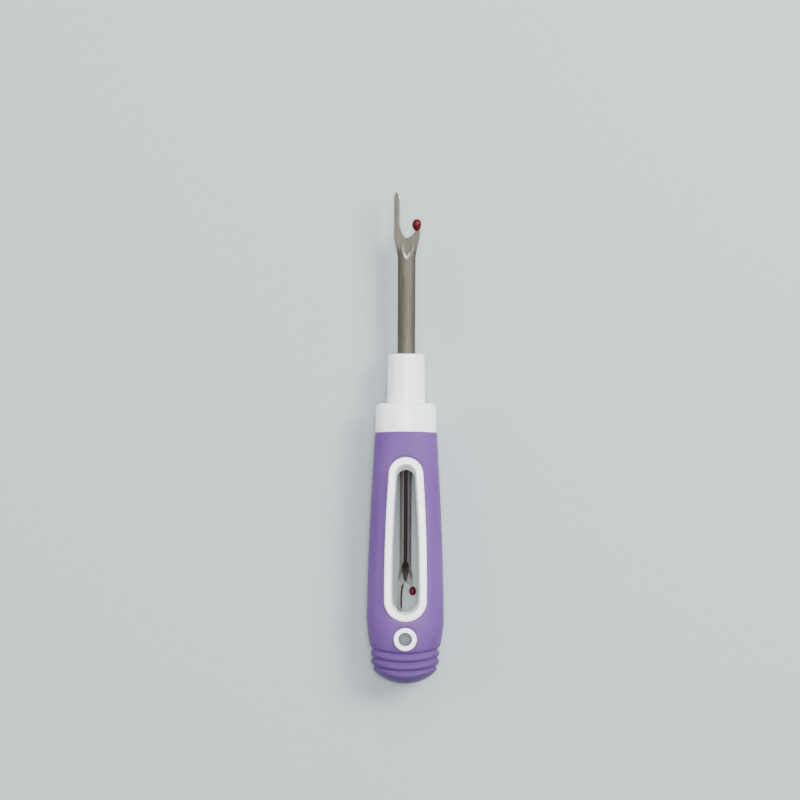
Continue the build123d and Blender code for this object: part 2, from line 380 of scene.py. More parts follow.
@dataclass(frozen=True)
class WhitePlastic(Finish):
    """Satin injection-moulded plastic, faintly cool, with moulding texture and handling dust."""

    light: Colour = (0.915, 0.92, 0.935)
    shaded: Colour = (0.86, 0.87, 0.90)
    dust: Colour = (0.62, 0.60, 0.58)

    def paint(self, sheet: NodeSheet) -> None:
        """Write the colour, the roughness and the relief.

        Args:
            sheet: the material's nodes.
        """
        cloud = sheet.ramp(sheet.noise((130, 60, 130), 3), 0.35, 0.7, 0, 1)
        colour = sheet.blend(cloud, self.light, self.shaded)
        specks = sheet.ramp(sheet.cells((900, 900, 900)), 0.0, 0.09, 0.35, 0)
        colour = sheet.blend_over(specks, colour, self.dust)
        sheet.feed("Base Color", colour)
        smears = sheet.noise((320, 140, 320), 5, 0.65)
        sheet.feed("Roughness", sheet.ramp(smears, 0.3, 0.75, 0.26, 0.44))
        orange_peel = sheet.noise((2600, 2600, 2600), 2)
        flow = sheet.noise((500, 90, 500), 2)
        normal = sheet.bump(flow, 0.00004)
        sheet.feed("Normal", sheet.bump(orange_peel, 0.000006, normal))
        sheet.fix(Specular_IOR_Level=0.5, IOR=1.49, Subsurface_Weight=0.12,
                  Subsurface_Scale=0.0012, Coat_Weight=0.08, Coat_Roughness=0.2)
        sheet.shader.inputs["Subsurface Radius"].default_value = (1.0, 0.9, 0.8)


@dataclass(frozen=True)
class SoftRubber(Finish):
    """Matte soft-touch thermoplastic rubber with a fine spark-eroded grain and rubbed patches."""

    deep: Colour = (0.096, 0.038, 0.190)
    worn: Colour = (0.127, 0.056, 0.230)
    lint: Colour = (0.26, 0.19, 0.36)
    painted_butt_shade: Colour = (0.058, 0.026, 0.125)
    butt: float = 0.0        # where the butt end lies along the tool, in metres

    def paint(self, sheet: NodeSheet) -> None:
        """Write the colour, the roughness and the relief.

        Args:
            sheet: the material's nodes.
        """
        cloud = sheet.ramp(sheet.noise((110, 45, 110), 5, 0.6), 0.32, 0.72, 0, 1)
        colour = sheet.blend(cloud, self.deep, self.worn)
        specks = sheet.ramp(sheet.cells((620, 620, 620)), 0.0, 0.055, 0.5, 0)
        colour = sheet.blend_over(specks, colour, self.lint)
        # painted shade: the colour darkens towards the butt end, most within 6 mm of it and gone by 16
        # mm
        painted_butt_shade_share = sheet.ramp(sheet.along(), self.butt + 0.006, self.butt + 0.016, 0.75, 0)
        sheet.feed("Base Color", sheet.blend_over(painted_butt_shade_share, colour, self.painted_butt_shade))
        rubbed = sheet.noise((260, 120, 260), 5, 0.65)
        sheet.feed("Roughness", sheet.ramp(rubbed, 0.3, 0.75, 0.50, 0.72))
        grain = sheet.noise((5200, 5200, 5200), 3, 0.7)
        pebble = sheet.cells((3400, 3400, 3400), "SMOOTH_F1")
        normal = sheet.bump(pebble, 0.000022)
        sheet.feed("Normal", sheet.bump(grain, 0.000014, normal))
        sheet.fix(Specular_IOR_Level=0.30, IOR=1.5, Sheen_Weight=0.04, Sheen_Roughness=0.45,
                  Subsurface_Weight=0.1, Subsurface_Scale=0.0008)
        sheet.shader.inputs["Sheen Tint"].default_value = (0.86, 0.78, 1.0, 1.0)
        sheet.shader.inputs["Subsurface Radius"].default_value = (0.8, 0.5, 1.0)


@dataclass(frozen=True)
class DrawnSteel(Finish):
    """Plated strip steel, drawn and rolled lengthwise, with fine scratches and a warm tint."""

    bright: Colour = (0.150, 0.139, 0.112)
    dull: Colour = (0.112, 0.102, 0.080)
    stain: Colour = (0.078, 0.063, 0.044)
    painted_highlight: Colour = (0.74, 0.72, 0.66)

    def paint(self, sheet: NodeSheet) -> None:
        """Write the colour, the roughness and the relief.

        Args:
            sheet: the material's nodes.
        """
        streaks = sheet.noise((4200, 130, 4200), 4, 0.6)
        cloud = sheet.noise((420, 160, 420), 4, 0.6)
        colour = sheet.blend(sheet.ramp(streaks, 0.3, 0.72, 0, 1), self.bright, self.dull)
        colour = sheet.blend_over(sheet.ramp(cloud, 0.56, 0.78, 0, 0.55), colour, self.stain)
        # painted highlight: the vertex layer lays a near-white colour over the pressed V
        sheet.feed("Base Color", sheet.blend_over(sheet.layer(HIGHLIGHT_LAYER), colour, self.painted_highlight))
        sheet.feed("Roughness", sheet.ramp(streaks, 0.25, 0.8, 0.62, 0.78))
        scratches = sheet.noise((9000, 420, 9000), 3, 0.7)
        dents = sheet.noise((700, 420, 700), 2)
        normal = sheet.bump(dents, 0.00003)
        sheet.feed("Normal", sheet.bump(scratches, 0.000006, normal))
        sheet.fix(Metallic=1.0, Anisotropic=0.15)


@dataclass(frozen=True)
class OiledScaleAndShade(Finish):
    """The unplated inside of the rolled shank, brown with old oil, and near-black as painted shade for
    the shadowed trough along the seam.
    """

    dark: Colour = (0.018, 0.014, 0.012)
    rusty: Colour = (0.040, 0.025, 0.019)

    def paint(self, sheet: NodeSheet) -> None:
        """Write the colour, the roughness and the relief.

        Args:
            sheet: the material's nodes.
        """
        patches = sheet.noise((900, 260, 900), 5, 0.65)
        sheet.feed("Base Color", sheet.blend(sheet.ramp(patches, 0.42, 0.7, 0, 1), self.dark,
                                             self.rusty))
        sheet.feed("Roughness", sheet.ramp(patches, 0.3, 0.75, 0.5, 0.75))
        sheet.feed("Normal", sheet.bump(sheet.noise((5200, 900, 5200), 4, 0.7), 0.00003))
        sheet.fix(Metallic=0.5, Specular_IOR_Level=0.3)


@dataclass(frozen=True)
class GroundEdge(Finish):
    """The bright bevel of the cutting edge, with grinding marks that run across it."""

    bright: Colour = (0.62, 0.615, 0.60)
    marks: Colour = (0.44, 0.435, 0.42)

    def paint(self, sheet: NodeSheet) -> None:
        """Write the colour, the roughness and the relief.

        Args:
            sheet: the material's nodes.
        """
        lines = sheet.noise((600, 9500, 600), 3, 0.7)
        sheet.feed("Base Color", sheet.blend(sheet.ramp(lines, 0.35, 0.7, 0, 1), self.bright,
                                             self.marks))
        sheet.feed("Roughness", sheet.ramp(lines, 0.3, 0.75, 0.22, 0.4))
        sheet.feed("Normal", sheet.bump(lines, 0.000006))
        sheet.fix(Metallic=1.0)


@dataclass(frozen=True)
class DippedBead(Finish):
    """Glossy dark red lacquer drop, slightly see-through, with thicker colour in its depth."""

    deep: Colour = (0.035, 0.0012, 0.0024)
    bright: Colour = (0.100, 0.0032, 0.0064)

    def paint(self, sheet: NodeSheet) -> None:
        """Write the colour, the roughness and the relief.

        Args:
            sheet: the material's nodes.
        """
        swirl = sheet.ramp(sheet.noise((900, 500, 900), 4, 0.6), 0.35, 0.68, 0, 1)
        sheet.feed("Base Color", sheet.blend(swirl, self.bright, self.deep))
        sheet.feed("Roughness", sheet.ramp(sheet.noise((1600, 1600, 1600), 3), 0.3, 0.8, 0.11, 0.2))
        sheet.feed("Normal", sheet.bump(sheet.noise((700, 700, 700), 2), 0.00005))
        sheet.fix(IOR=1.52, Specular_IOR_Level=0.16, Coat_Weight=0.05, Coat_Roughness=0.08,
                  Subsurface_Weight=0.1, Subsurface_Scale=0.0005)
        sheet.shader.inputs["Subsurface Radius"].default_value = (1.0, 0.12, 0.1)


@dataclass(frozen=True)
class TablePaper(Finish):
    """The pale matte surface that the tool lies on."""

    colour: Colour = (0.395, 0.455, 0.467)
    tooth: Colour = (0.375, 0.435, 0.447)

    def paint(self, sheet: NodeSheet) -> None:
        """Write the colour, the roughness and the relief.

        Args:
            sheet: the material's nodes.
        """
        fibre = sheet.noise((900, 900, 900), 3)
        sheet.feed("Base Color", sheet.blend(sheet.ramp(fibre, 0.35, 0.7, 0, 1), self.colour,
                                             self.tooth))
        sheet.feed("Normal", sheet.bump(fibre, 0.00002))
        sheet.fix(Roughness=0.85, Specular_IOR_Level=0.2)


# ------------------------------------------------------------------ handle
@dataclass
class Grip:
    """The soft rubber skin: sizes in millimetres, lengths counted from the butt end."""

    belly_half_width: float = 10.0
    belly_half_depth: float = 6.8
    waist_inset: float = 1.05
    butt_half_depth: float = 6.1
    collar_half_width: float = 8.0
    collar_half_depth: float = 6.7
    belly: float = 17.8
    waist: float = 8.55
    top_edge: float = 65.6
    top_bow: float = 0.5
    section_power: float = 2.5
    taper_power: float = 1.5
    thickness: float = 0.95
    dome_radius: float = 11.6
    dome_softness: float = 14.0
    grooves: tuple[float, ...] = (3.35, 5.55, 7.75)
    groove_radius: float = 31.0
    groove_width: float = 0.46
    groove_depth: float = 0.62
    groove_power: float = 1.7
    groove_fade: float = 4.0
    window_top: float = 57.1
    window_bottom: float = 18.1
    window_half_top: float = 2.65
    window_half_bottom: float = 3.7
    window_bulge: float = 0.3
    lip_width: float = 1.85
    eyelet: float = 11.75
    eyelet_boss_radius: float = 3.0
    edge_dip: float = 0.08
    edge_reach: float = 0.45
    edge_power: float = 1.5
    sharp_angle: float = 50.0
    columns: int = 224
    rows: int = 250
    outline: np.ndarray = field(init=False)
    shift: Vector = field(init=False)        # where the butt end lies, in metres

    def __post_init__(self) -> None:
        """Work out the window frame's outline and where the butt end lies in the frame."""
        low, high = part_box("handle_core")
        self.shift = Vector((0.0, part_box("grip_overmould")[0].y, (low.z + high.z) / 2))
        self.outline = self.window_frame_outline()

    def outside(self, station: float) -> tuple[float, float]:
        """Half width and half depth at a distance from the butt.

        Args:
            station: millimetres from the butt end.

        Returns:
            Half width and half depth in millimetres.
        """
        waist_half_width = self.belly_half_width - self.waist_inset
        if station < self.belly:
            share = max(0.0, (station - self.waist) / (self.belly - self.waist))
            rise = math.sin(math.pi / 2 * share)
            return (waist_half_width + self.waist_inset * rise,
                    self.butt_half_depth + (self.belly_half_depth - self.butt_half_depth) * rise)
        share = min(1.0, (station - self.belly) / (self.top_edge - self.belly))
        late = share ** self.taper_power
        return (self.belly_half_width + (self.collar_half_width - self.belly_half_width) * late,
                self.belly_half_depth + (self.collar_half_depth - self.belly_half_depth) * late)

    def window_frame_outline(self) -> np.ndarray:
        """Closed outline of the white window frame.

        Returns:
            Points in millimetres, one row each.
        """
        half_top = self.window_half_top + self.lip_width
        half_bottom = self.window_half_bottom + self.lip_width
        top = self.window_top - self.window_half_top
        bottom = self.window_bottom + self.window_half_bottom
        steps = 60
        points = []
        for side, (near_half, near), (far_half, far) in (
                (1, (half_top, top), (half_bottom, bottom)),
                (-1, (half_bottom, bottom), (half_top, top))):
            for i in range(steps):
                turn = math.pi * i / steps
                points.append((side * near_half * math.cos(turn),
                               near + side * near_half * math.sin(turn)))
            for i in range(steps):
                share = i / steps
                bow = self.window_bulge * 4 * share * (1 - share)
                points.append((-side * (near_half + (far_half - near_half) * share + bow),
                               near + (far - near) * share))
        return np.array(points)

    def opening_gap(self, points: np.ndarray) -> tuple[np.ndarray, np.ndarray]:
        """Signed distance of points in plan to the nearest opening, and its nearest point.

        Args:
            points: plan positions in millimetres, one row each.

        Returns:
            Distances, negative inside an opening, and the nearest outline points.
        """
        starts = self.outline
        ends = np.roll(starts, -1, axis=0)
        along = ends - starts
        best = np.full(len(points), 1e9)
        nearest = np.zeros_like(points)
        inside = np.zeros(len(points), bool)
        for start, step, end in zip(starts, along, ends):
            share = np.clip(((points - start) @ step) / (step @ step), 0, 1)
            foot = start + share[:, None] * step
            gap = np.linalg.norm(points - foot, axis=1)
            closer = gap < best
            best[closer] = gap[closer]
            nearest[closer] = foot[closer]
            crosses = (start[1] > points[:, 1]) != (end[1] > points[:, 1])
            if abs(step[1]) > 1e-12:
                reach = start[0] + (points[:, 1] - start[1]) * step[0] / step[1]
                inside ^= crosses & (points[:, 0] < reach)
        best = np.where(inside, -best, best)
        centre = np.array([0.0, self.eyelet])
        offset = points - centre
        length = np.maximum(np.linalg.norm(offset, axis=1), 1e-9)
        ring = length - self.eyelet_boss_radius
        on_ring = centre + offset / length[:, None] * self.eyelet_boss_radius
        closer = ring < best
        best[closer] = ring[closer]
        nearest[closer] = on_ring[closer]
        return best, nearest

    def surface(self, angle: float, share: float) -> tuple[float, float, float]:
        """A point of the skin's outside before its soft edges are added.

        Args:
            angle: radians round the handle.
            share: 0 at the butt, 1 at the upper edge.

        Returns:
            The point in millimetres.
        """
        across, up = math.cos(angle), math.sin(angle)
        edge = self.top_edge - self.top_bow * (across * self.collar_half_width
                                               / self.belly_half_width) ** 2
        station = edge * share
        half_width, half_depth = self.outside(station)
        power = self.section_power
        total = (abs(across) / half_width) ** power + (abs(up) / half_depth) ** power
        reach = total ** (-1 / power)
        if station < self.dome_radius:
            dome = math.sqrt(max(1e-8, self.dome_radius ** 2 - (self.dome_radius - station) ** 2))
            soft = self.dome_softness
            reach = (reach ** -soft + dome ** -soft) ** (-1 / soft)
        x = reach * across
        curved = station - (self.groove_radius - math.sqrt(self.groove_radius ** 2 - x * x))
        for groove in self.grooves:
            gap = abs(curved - groove) / self.groove_width
            fade = smooth_step(reach / self.groove_fade)
            reach -= self.groove_depth * math.exp(-gap ** self.groove_power) * fade
        return reach * across, station, reach * up

    def row_shares(self) -> list[float]:
        """Where the rows lie along the skin, closer together at the dome and the ribs.

        Returns:
            Shares of the skin's length, from 0 to 1.
        """
        dome_rows, rib_rows = self.rows // 6, self.rows // 4
        dome_end, rib_end = 2.6, 10.0
        stations = [dome_end * (i / dome_rows) ** 2 for i in range(dome_rows)]
        stations += [dome_end + (rib_end - dome_end) * i / rib_rows for i in range(rib_rows)]
        rest = self.rows - dome_rows - rib_rows
        stations += [rib_end + (self.top_edge - rib_end) * i / rest for i in range(rest + 1)]
        return [station / self.top_edge for station in stations]

    def build(self) -> bpy.types.Object:
        """Build the skin as a closed shell with rolled edges round its openings.

        Returns:
            The skin's object.
        """
        shares = self.row_shares()
        points = np.array([self.surface(2 * math.pi * i / self.columns, share)
                           for share in shares for i in range(self.columns)])
        gap, nearest = self.opening_gap(points[:, :2])
        keep = gap > 0
        faces = []
        for row in range(len(shares) - 1):
            for i in range(self.columns):
                j = (i + 1) % self.columns
                face = (row * self.columns + i, row * self.columns + j,
                        (row + 1) * self.columns + j, (row + 1) * self.columns + i)
                if all(keep[index] for index in face):
                    faces.append(face)
        self.snap_edges(points, faces, nearest)
        gap, _ = self.opening_gap(points[:, :2])
        top = self.top_edge - self.top_bow * (points[:, 0] / self.belly_half_width) ** 2
        gap = np.minimum(gap, np.maximum(top - points[:, 1], 0))
        dip = self.edge_dip * np.exp(-(np.maximum(gap, 0) / self.edge_reach) ** self.edge_power)
        radial = np.hypot(points[:, 0], points[:, 2])
        shrink = 1 - dip / np.maximum(radial, 1.0)
        points[:, 0] *= shrink
        points[:, 2] *= shrink
        placed = [Vector(point) * MM + self.shift for point in points]
        skin = make_object("soft_grip", placed, faces)
        loose = bmesh.new()
        loose.from_mesh(skin.data)
        bmesh.ops.delete(loose, geom=[vert for vert in loose.verts if not vert.link_faces],
                         context="VERTS")
        loose.to_mesh(skin.data)
        loose.free()
        wall = skin.modifiers.new("wall", "SOLIDIFY")
        wall.thickness = self.thickness * MM
        wall.offset = -1.0
        wall.use_even_offset = True
        shade(skin, self.sharp_angle)
        return skin

    @staticmethod
    def snap_edges(points: np.ndarray, faces: list[tuple[int, ...]], nearest: np.ndarray) -> None:
        """Pull the mesh's open edge onto the openings' outlines.

        Args:
            points: vertex positions, changed in place.
            faces: the faces that are kept.
            nearest: each vertex's nearest outline point in plan.
        """
        uses: dict[Pair, int] = {}
        for face in faces:
            for a, b in zip(face, face[1:] + face[:1]):
                key = (min(a, b), max(a, b))
                uses[key] = uses.get(key, 0) + 1
        rim = {index for edge, count in uses.items() if count == 1 for index in edge}
        for index in rim:
            offset = nearest[index] - points[index, :2]
            if np.linalg.norm(offset) < SNAP_REACH:
                points[index, :2] = nearest[index]


@dataclass
class Handle:
    """The handle: the rigid core as modelled, under a refined soft skin."""

    grip: Grip = field(default_factory=Grip)

    def build(self) -> list[bpy.types.Object]:
        """Build and dress the handle.

        Returns:
            The pieces that show.
        """
        skin = self.grip.build()
        dress(skin, SoftRubber(butt=self.grip.shift.y).make("purple_rubber_finish"))
        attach(skin, Body.HANDLE.value)
        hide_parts("grip_overmould")
        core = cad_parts["handle_core"]
        dress(core, WhitePlastic().make("white_handle_finish"))
        return [skin, core]


# ------------------------------------------------------------------ insert
@dataclass
class Blade:
    """A rolled shank opened out into a fork: sizes in millimetres, lengths back from the tip."""

    end: BladeEnd
    tube_radius: float
    sheet: float
    seam: float
    length: float
    head_half: float
    head_end: float
    notch_depth: float
    notch_left_start: float
    flat_start: float
    flare_start: float
    prong_width: float
    tip_offset: float
    tip_taper: float
    fork_drop: float
    bead_offset: float
    bead_station: float
    bead_radius: float
    bead_length: float
    short_half: float
    coin_half: float
    bead_egg: float = 0.17
    bevel: float = 0.42
    bevel_start: float = 0.7
    bevel_hold: float = 7.0
    bevel_end: float = 11.0
    bevel_columns: int = 8
    bevel_zone: Zone = Zone.GROUND
    land: float = 0.1
    unroll_power: float = 2.3
    settle_share: float = 0.88
    shaded_channel_half: float = 1.1
    coin_ramp: float = 0.62
    coin_feather: float = 0.16
    left_arm: float = 0.2
    inner_ease: float = 0.8
    outer_ease: float = 0.75
    long_curl: float = 2.2
    short_curl: float = 0.8
    tip_share: float = 0.3
    tip_run: float = 1.6
    least_bevel: float = 0.02
    least_spread: float = 0.02
    crown_haste: float = 1.15
    broken_edge: float = 0.05
    fold_angle: float = 50.0
    sharp_angle: float = 32.0
    columns: int = 34

    @property
    def neck(self) -> float:
        """Distance from the tip to where the short prong comes out of its bead."""
        return self.bead_station + self.bead_length / 2

    @property
    def flat_top(self) -> float:
        """Height of the fork's flat face over the shank's centre line."""
        return self.tube_radius - self.fork_drop

    def half_width(self, station: float) -> float:
        """Half the metal's width in plan."""
        flare = (station - self.head_end) / (self.flare_start - self.head_end)
        return self.head_half + (self.tube_radius - self.head_half) * smooth_step(flare)

    def long_inner(self, station: float) -> float:
        """Inner side of the long prong, from the centre line.

        Args:
            station: distance from the tip.

        Returns:
            Millimetres, negative to the left.
        """
        inner = self.prong_width - self.head_half
        if station < self.tip_taper:
            ease = math.sin(math.pi / 2 * (station / self.tip_taper) ** self.inner_ease)
            return -self.tip_offset + (inner + self.tip_offset) * ease
        if station <= self.notch_left_start:
            return inner
        share = (station - self.notch_left_start) / (self.notch_depth - self.notch_left_start)
        return inner * math.sqrt(max(0.0, 1 - share ** self.long_curl))

    def long_outer(self, station: float) -> float:
        """Outer side of the long prong, from the centre line.

        Args:
            station: distance from the tip.

        Returns:
            Millimetres, negative to the left.
        """
        if station < self.tip_taper:
            ease = math.sin(math.pi / 2 * (station / self.tip_taper) ** self.outer_ease)
            return -self.tip_offset - (self.half_width(station) - self.tip_offset) * ease
        return -self.half_width(station)

    def short_inner(self, station: float) -> float:
        """Inner side of the short prong, from the centre line.

        Args:
            station: distance from the tip.

        Returns:
            Millimetres, negative to the left.
        """
        inner = self.bead_offset - self.short_half
        if station <= self.neck:
            return inner
        share = (station - self.neck) / (self.notch_depth - self.neck)
        return inner * math.sqrt(max(0.0, 1 - share ** self.short_curl))

    def short_outer(self, station: float) -> float:
        """Outer side of the short prong, from the centre line.

        Args:
            station: distance from the tip.

        Returns:
            Millimetres, negative to the left.
        """
        tip = self.bead_offset + self.short_half
        share = (station - self.bead_station) / (self.neck - self.bead_station)
        return tip + (self.half_width(station) - tip) * smooth_step(share)

    def rows(self) -> list[float]:
        """Distances from the tip at which the sheet's rows lie.

        Returns:
            Stations in millimetres, from the tip to the hidden end.
        """
        point_end, round_shank = 1.8, self.flare_start + 0.4
        marks = [0.0, 0.06, 0.15, 0.3, 0.5, 0.75, 1.05, 1.4, point_end]
        marks += list(np.linspace(self.tip_taper, self.notch_left_start, 14))
        marks += list(np.linspace(self.notch_left_start, self.neck, 12))[1:]
        turn = np.linspace(0, math.pi / 2, 30)[1:]
        marks += list(self.neck + (self.notch_depth - self.neck) * np.sin(turn))
        marks += list(np.linspace(self.notch_depth, round_shank, 60))[1:]
        marks += list(np.linspace(round_shank, self.length, 9))[1:]
        return sorted({round(mark, 4) for mark in marks} | {self.bead_station})

    def bevel_width(self, station: float) -> float:
        """Width of the ground bevel on the long prong's inner side.

        Args:
            station: distance from the tip.

        Returns:
            Millimetres, 0 where there is no bevel.
        """
        most = 0.6 * (self.long_inner(station) - self.long_outer(station))
        grown = smooth_step((station - self.bevel_start) / self.tip_taper)
        faded = smooth_step((station - self.bevel_hold) / (self.bevel_end - self.bevel_hold))
        return min(most, self.bevel * grown * (1 - faded))

    def across(self, start: float, end: float, column: int, bevel: float) -> float:
        """Place of a column across a prong, with a set of columns kept for the bevel.

        Args:
            start: where the prong starts.
            end: where it ends, at its inner side.
            column: the column's number.
            bevel: the bevel's width, or a negative number for even columns.

        Returns:
            Millimetres from the centre line.
        """
        if bevel < 0:
            return start + (end - start) * column / self.columns
        plain = self.columns - self.bevel_columns
        bevel = max(bevel, self.least_bevel)
        if column <= plain:
            return start + (end - bevel - start) * column / plain
        return end - bevel + bevel * (column - plain) / self.bevel_columns

    def point(self, share: float, x: float, station: float, half: float) -> tuple[Vector, Vector]:
        """Outer and inner points of the sheet.

        Args:
            share: place across the strip, -1 to 1.
            x: plan position where the sheet is flat.
            station: distance from the tip.
            half: half the metal's thickness here.

        Returns:
            The point on the closed side and the one behind it, closed side up.
        """
        middle = self.flat_top - self.sheet / 2
        opened = (self.flare_start - station) / (self.flare_start - self.flat_start)
        if opened >= 1:
            return Vector((x, -station, middle + half)), Vector((x, -station, middle - half))
        opened = max(0.0, opened)
        closed = math.pi - math.asin(self.seam / 2 / self.tube_radius)
        spread = max(closed * (1 - opened) ** self.unroll_power, self.least_spread)
        width = self.half_width(station)
        radius = width / math.sin(min(spread, math.pi / 2))
        crown = self.tube_radius - self.fork_drop * smooth_step(opened * self.crown_haste)
        centre = crown - radius
        angle = spread * share
        outer = Vector((radius * math.sin(angle), -station, centre + radius * math.cos(angle)))
        inner_radius = radius - self.sheet
        inner = Vector((inner_radius * math.sin(angle), -station,
                        centre + inner_radius * math.cos(angle)))
        press = self.coining(outer, station)
        outer.z -= press
        inner.z -= press
        if opened > self.settle_share:
            settle = smooth_step((opened - self.settle_share) / (1 - self.settle_share))
            outer = outer.lerp(Vector((x, -station, middle + half)), settle)
            inner = inner.lerp(Vector((x, -station, middle - half)), settle)
        return outer, inner

    def coining(self, outer: Vector, station: float) -> float:
        """How far the die has pressed the crown down inside its V-shaped mark.

        Args:
            outer: the unpressed point.
            station: distance from the tip.

        Returns:
            Millimetres down.
        """
        gap = self.coin_gap(outer.x, station)
        if gap <= 0 or outer.z <= self.flat_top:
            return 0.0
        return (outer.z - self.flat_top) * smooth_step(gap / self.coin_ramp)

    def coin_gap(self, x: float, station: float) -> float:
        """How far a point lies inside the rounded V that the die has pressed.

        Args:
            x: plan position.
            station: distance from the tip.

        Returns:
            Millimetres from the V's rim, 0 outside it.
        """
        share = (self.flare_start - station) / (self.flare_start - self.flat_start)
        if share <= 0 or abs(x) >= self.coin_half * math.sqrt(share):
            return 0.0
        rim = self.coin_rim()
        return float(np.min(np.hypot(rim[:, 0] - abs(x), rim[:, 1] - station)))

    def coin_rim(self) -> np.ndarray:
        """Right half of the rounded V that the die has pressed, in plan.

        Returns:
            Points in millimetres, one row each.
        """
        shares = np.linspace(0, 1.1, 120) ** 2
        run = self.flare_start - self.flat_start
        return np.column_stack([self.coin_half * np.sqrt(shares), self.flare_start - run * shares])

    def build(self, name: str) -> bpy.types.Object:
        """Build the sheet-metal blade with its tip at the origin.

        Args:
            name: the piece's name.

        Returns:
            The blade's object, in metres.
        """
        stations = self.rows()
        points: list[Vector] = []
        index: PairTable = {}
        for row, station in enumerate(stations):
            split = station < self.notch_depth - SAME_PLACE
            for side in ("left", "right"):
                if side == "right" and station < self.bead_station:
                    continue
                for column in range(self.columns + 1):
                    share = column / self.columns
                    if side == "left":
                        start = self.long_outer(station)
                        end = self.long_inner(station) if split else 0.0
                        bevel = self.bevel_width(station) if split else -1.0
                        turn = share - 1
                    else:
                        start = self.short_inner(station) if split else 0.0
                        end = self.short_outer(station)
                        bevel, turn = -1.0, share
                    x = self.across(start, end, column, bevel)
                    half = self.thickness(station, end - x, bevel)
                    index[side, row, column] = (len(points), len(points) + 1)
                    points.extend(self.point(turn, x, station, half))
        quads = self.panels(index, len(stations))
        walls = self.walls(quads)
        faces = [tuple(pair[0] for pair in quad) for quad in quads]
        faces += [tuple(pair[1] for pair in reversed(quad)) for quad in quads]
        faces += walls
        zones = self.zones(points, faces, len(quads))
        blade = make_object(name, [point * MM for point in points], faces, zones)
        self.paint_v_highlight(blade)
        edge = blade.modifiers.new("edge", "BEVEL")
        edge.width = self.broken_edge * MM
        edge.segments = 2
        edge.limit_method = "ANGLE"
        edge.angle_limit = math.radians(self.fold_angle)
        shade(blade, self.sharp_angle)
        return blade

    def paint_v_highlight(self, blade: bpy.types.Object) -> None:
        """Mark a painted highlight on the crown inside the V, brightest at its point.

        Args:
            blade: the blade with its tip at the origin, in metres.
        """
        # shares of the V's length from its point, and then shares of the ramp's width
        point_end, arm_start, arm_fade, tail_start, tail_fade = 0.3, 0.2, 0.32, 0.6, 0.3
        band_width, band_growth, band_fade = 0.55, 0.7, 0.38
        run = self.flare_start - self.flat_start
        floor = self.flat_top - self.sheet / 4
        marks = blade.data.attributes.new(HIGHLIGHT_LAYER, "FLOAT", "POINT")
        for vertex, mark in zip(blade.data.vertices, marks.data):
            x, station, z = vertex.co.x / MM, -vertex.co.y / MM, vertex.co.z / MM
            share = (self.flare_start - station) / run
            gap = self.coin_gap(x, station)
            if gap <= 0 or share >= 1 or z < floor:
                continue
            point = 1 - smooth_step(share / point_end)
            past = gap / self.coin_ramp - band_width - band_growth * point
            band = (1 - smooth_step(past / band_fade)) * smooth_step(gap / self.coin_feather)
            arm = 1 - smooth_step((share - arm_start) / arm_fade)
            tail = self.left_arm * (1 - smooth_step((share - tail_start) / tail_fade))
            mark.value = band * max(arm, tail if x < 0 else 0.0)

    def zones(self, points: list[Vector], faces: list[tuple[int, ...]],
              cells: int) -> list[int]:
        """Which finish each face wears.

        Args:
            points: vertex positions.
            faces: vertex indices, with the outer cells first and then the inner ones.
            cells: how many cells each side has.

        Returns:
            Each face's place among the blade's material slots.
        """
        narrowest, all_inside, all_sheared = 0.03, 0.75, 0.9
        zones = []
        for number, face in enumerate(faces):
            middle = sum((points[index] for index in face), Vector()) / len(face)
            if -middle.y < self.notch_depth:
                width = self.bevel_width(-middle.y)
                ground = width > narrowest and self.long_inner(-middle.y) - width < middle.x < 0
                zones.append((self.bevel_zone if ground else Zone.PLATED).value)
            else:
                hidden = cells <= number < 2 * cells
                depth = (-middle.y - self.notch_depth) / (self.flare_start - self.notch_depth)
                # painted shade: on the hidden side, a channel along the seam that widens away from the
                # notch wears the near-black finish
                shaded_channel = self.shaded_channel_half * math.sqrt(min(1.0, max(0.0, 2 * depth)))
                inside = hidden and (abs(middle.x) < shaded_channel or depth > all_inside)
                sheared = number >= 2 * cells and depth > all_sheared
                zones.append((Zone.SCALE_AND_SHADE if inside or sheared else Zone.PLATED).value)
        return zones

    def thickness(self, station: float, gap: float, bevel: float) -> float:
        """Half the metal's thickness, thinned by the ground bevel and towards the point.

        Args:
            station: distance from the tip.
            gap: distance from the prong's inner side.
            bevel: the bevel's width here.

        Returns:
            Half the thickness in millimetres.
        """
        half, land = self.sheet / 2, self.land / 2
        if 0 < bevel and gap < bevel:
            thin = min(1.0, bevel / self.bevel)
            half -= (half - land) * thin * (1 - gap / bevel)
        reached = min(1.0, station / (self.tip_run * self.tip_taper))
        point = self.tip_share + (1 - self.tip_share) * reached
        return half * point

    def panels(self, index: PairTable, rows: int) -> list[Cell]:
        """Pairs of outer and inner vertices at the corners of every cell.

        Args:
            index: vertex pairs by side, row and column.
            rows: how many rows there are.

        Returns:
            The cells.
        """
        cells = []
        for side in ("left", "right"):
            for row in range(rows - 1):
                if (side, row, 0) not in index:
                    continue
                for column in range(self.columns):
                    cells.append((index[side, row, column], index[side, row, column + 1],
                                  index[side, row + 1, column + 1], index[side, row + 1, column]))
        return self.weld_middle(index, cells, rows)

    def weld_middle(self, index: PairTable, cells: list[Cell], rows: int) -> list[Cell]:
        """Make the two halves share their vertices along the middle, behind the notch.

        Args:
            index: vertex pairs by side, row and column.
            cells: the cells of both halves.
            rows: how many rows there are.

        Returns:
            The cells with the right half's middle vertices replaced by the left half's.
        """
        stations = self.rows()
        same = {}
        for row in range(rows):
            if stations[row] >= self.notch_depth - SAME_PLACE:
                same[index["right", row, 0]] = index["left", row, self.columns]
        return [tuple(same.get(pair, pair) for pair in cell) for cell in cells]

